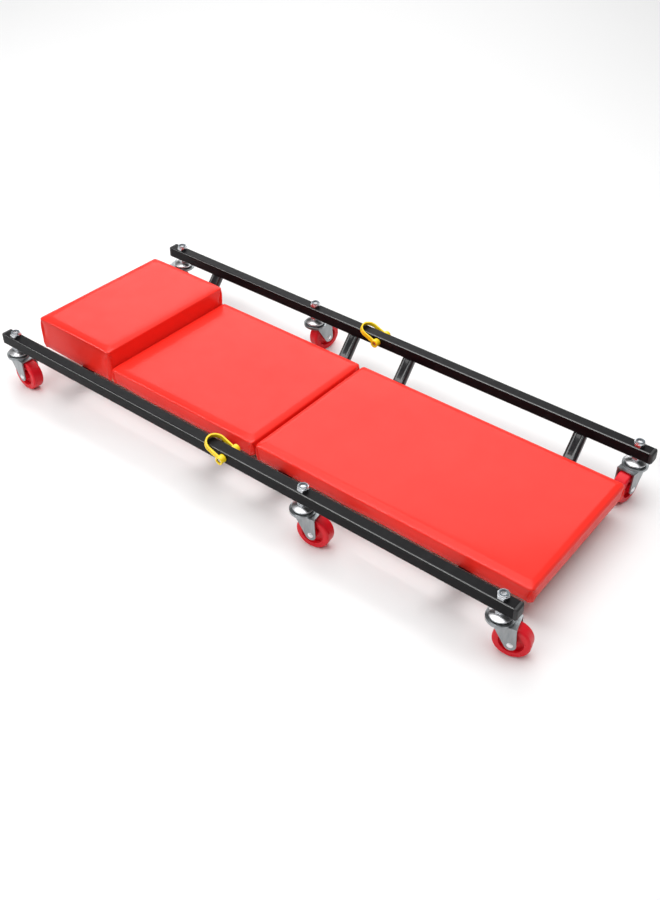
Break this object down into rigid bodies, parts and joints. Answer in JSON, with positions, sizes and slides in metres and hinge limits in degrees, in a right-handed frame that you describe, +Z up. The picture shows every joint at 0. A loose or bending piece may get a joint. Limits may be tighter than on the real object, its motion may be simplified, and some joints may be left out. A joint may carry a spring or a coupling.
{
  "type": "mechanics creeper",
  "caption": "Low padded creeper for lying under a car: square-tube side rails, dropped padded board with raised headrest, swivel casters and strapped lock pins.",
  "frame": {"origin": "on the floor under the centre of the frame, midway between the two rails", "axes": "+X towards the foot end, away from the headrest; +Y across to the far rail; +Z up"},
  "size_m": [1.0566, 0.4639, 0.1025],
  "materials": {
    "rail_black": "satin black powder coat on square steel tube",
    "bar_black": "gloss black enamel on flattened steel tube",
    "spigot_steel": "black painted steel, rubbed where it slides",
    "plug_plastic": "moulded black plastic",
    "plywood": "raw plywood",
    "red_vinyl": "smooth red vinyl cover over foam",
    "zinc": "zinc plated steel",
    "bright_zinc": "bright plated steel",
    "fork_zinc": "zinc plated pressed sheet",
    "pin_steel": "ground and plated steel",
    "yellow_plastic": "glossy moulded yellow plastic",
    "wheel_red": "moulded red plastic"
  },
  "bodies": {
    "frame": {"near_long_rail": "rail_black", "near_short_rail": "rail_black", "far_long_rail": "rail_black", "far_short_rail": "rail_black", "near_spigot": "spigot_steel", "far_spigot": "spigot_steel", "rail_end_plugs": "plug_plastic", "head_end_bar": "bar_black", "head_mid_bar": "bar_black", "foot_mid_bar": "bar_black", "foot_end_bar": "bar_black", "head_board": "plywood", "foot_board": "plywood", "headrest_pad": "red_vinyl", "middle_pad": "red_vinyl", "long_pad": "red_vinyl", "board_screws": "zinc", "caster_stems": "zinc", "caster_top_races": "bright_zinc", "caster_stem_hexes": "zinc", "caster_lock_nuts": "zinc", "caster_keepers": "zinc"},
    "near_strap": {"near_lock_strap": "yellow_plastic"},
    "near_pin": {"near_lock_pin": "pin_steel"},
    "far_strap": {"far_lock_strap": "yellow_plastic"},
    "far_pin": {"far_lock_pin": "pin_steel"},
    "near_head_swivel": {"near_head_fork": "fork_zinc", "near_head_axle": "bright_zinc", "near_head_axle_bush": "zinc", "near_head_swivel_balls": "pin_steel"},
    "near_head_roller": {"near_head_wheel": "wheel_red"},
    "near_mid_swivel": {"near_mid_fork": "fork_zinc", "near_mid_axle": "bright_zinc", "near_mid_axle_bush": "zinc", "near_mid_swivel_balls": "pin_steel"},
    "near_mid_roller": {"near_mid_wheel": "wheel_red"},
    "near_foot_swivel": {"near_foot_fork": "fork_zinc", "near_foot_axle": "bright_zinc", "near_foot_axle_bush": "zinc", "near_foot_swivel_balls": "pin_steel"},
    "near_foot_roller": {"near_foot_wheel": "wheel_red"},
    "far_head_swivel": {"far_head_fork": "fork_zinc", "far_head_axle": "bright_zinc", "far_head_axle_bush": "zinc", "far_head_swivel_balls": "pin_steel"},
    "far_head_roller": {"far_head_wheel": "wheel_red"},
    "far_mid_swivel": {"far_mid_fork": "fork_zinc", "far_mid_axle": "bright_zinc", "far_mid_axle_bush": "zinc", "far_mid_swivel_balls": "pin_steel"},
    "far_mid_roller": {"far_mid_wheel": "wheel_red"},
    "far_foot_swivel": {"far_foot_fork": "fork_zinc", "far_foot_axle": "bright_zinc", "far_foot_axle_bush": "zinc", "far_foot_swivel_balls": "pin_steel"},
    "far_foot_roller": {"far_foot_wheel": "wheel_red"}
  },
  "joints": [
    {"name": "near_strap_swing", "type": "hinge", "parent": "frame", "child": "near_strap", "pos_m": [0.0045, -0.198, 0.084], "axis": [0, 1, 0], "range_deg": [0, 136]},
    {"name": "near_pin_pull", "type": "slide", "parent": "near_strap", "child": "near_pin", "axis": [0, -1, 0], "range_m": [0, 0.045]},
    {"name": "far_strap_swing", "type": "hinge", "parent": "frame", "child": "far_strap", "pos_m": [-0.0045, 0.198, 0.084], "axis": [0, 1, 0], "range_deg": [0, 136]},
    {"name": "far_pin_pull", "type": "slide", "parent": "far_strap", "child": "far_pin", "axis": [0, 1, 0], "range_m": [0, 0.045]},
    {"name": "near_head_swivel_turn", "type": "hinge", "parent": "frame", "child": "near_head_swivel", "pos_m": [-0.481, -0.198, 0.055], "axis": [0, 0, 1], "continuous": true},
    {"name": "near_head_wheel_spin", "type": "hinge", "parent": "near_head_swivel", "child": "near_head_roller", "pos_m": [-0.46103, -0.19905, 0.027], "axis": [0.0523, 0.9986, 0], "continuous": true},
    {"name": "near_mid_swivel_turn", "type": "hinge", "parent": "frame", "child": "near_mid_swivel", "pos_m": [0.15, -0.198, 0.055], "axis": [0, 0, 1], "continuous": true},
    {"name": "near_mid_wheel_spin", "type": "hinge", "parent": "near_mid_swivel", "child": "near_mid_roller", "pos_m": [0.16975, -0.19487, 0.027], "axis": [-0.1564, 0.9877, 0], "continuous": true},
    {"name": "near_foot_swivel_turn", "type": "hinge", "parent": "frame", "child": "near_foot_swivel", "pos_m": [0.481, -0.198, 0.055], "axis": [0, 0, 1], "continuous": true},
    {"name": "near_foot_wheel_spin", "type": "hinge", "parent": "near_foot_swivel", "child": "near_foot_roller", "pos_m": [0.50041, -0.19316, 0.027], "axis": [-0.2419, 0.9703, 0], "continuous": true},
    {"name": "far_head_swivel_turn", "type": "hinge", "parent": "frame", "child": "far_head_swivel", "pos_m": [-0.481, 0.198, 0.055], "axis": [0, 0, 1], "continuous": true},
    {"name": "far_head_wheel_spin", "type": "hinge", "parent": "far_head_swivel", "child": "far_head_roller", "pos_m": [-0.50041, 0.19316, 0.027], "axis": [0.2419, -0.9703, 0], "continuous": true},
    {"name": "far_mid_swivel_turn", "type": "hinge", "parent": "frame", "child": "far_mid_swivel", "pos_m": [-0.15, 0.198, 0.055], "axis": [0, 0, 1], "continuous": true},
    {"name": "far_mid_wheel_spin", "type": "hinge", "parent": "far_mid_swivel", "child": "far_mid_roller", "pos_m": [-0.14584, 0.21756, 0.027], "axis": [-0.9781, 0.2079, 0], "continuous": true},
    {"name": "far_foot_swivel_turn", "type": "hinge", "parent": "frame", "child": "far_foot_swivel", "pos_m": [0.481, 0.198, 0.055], "axis": [0, 0, 1], "continuous": true},
    {"name": "far_foot_wheel_spin", "type": "hinge", "parent": "far_foot_swivel", "child": "far_foot_roller", "pos_m": [0.47856, 0.17815, 0.027], "axis": [0.9925, -0.1219, 0], "continuous": true}
  ]
}
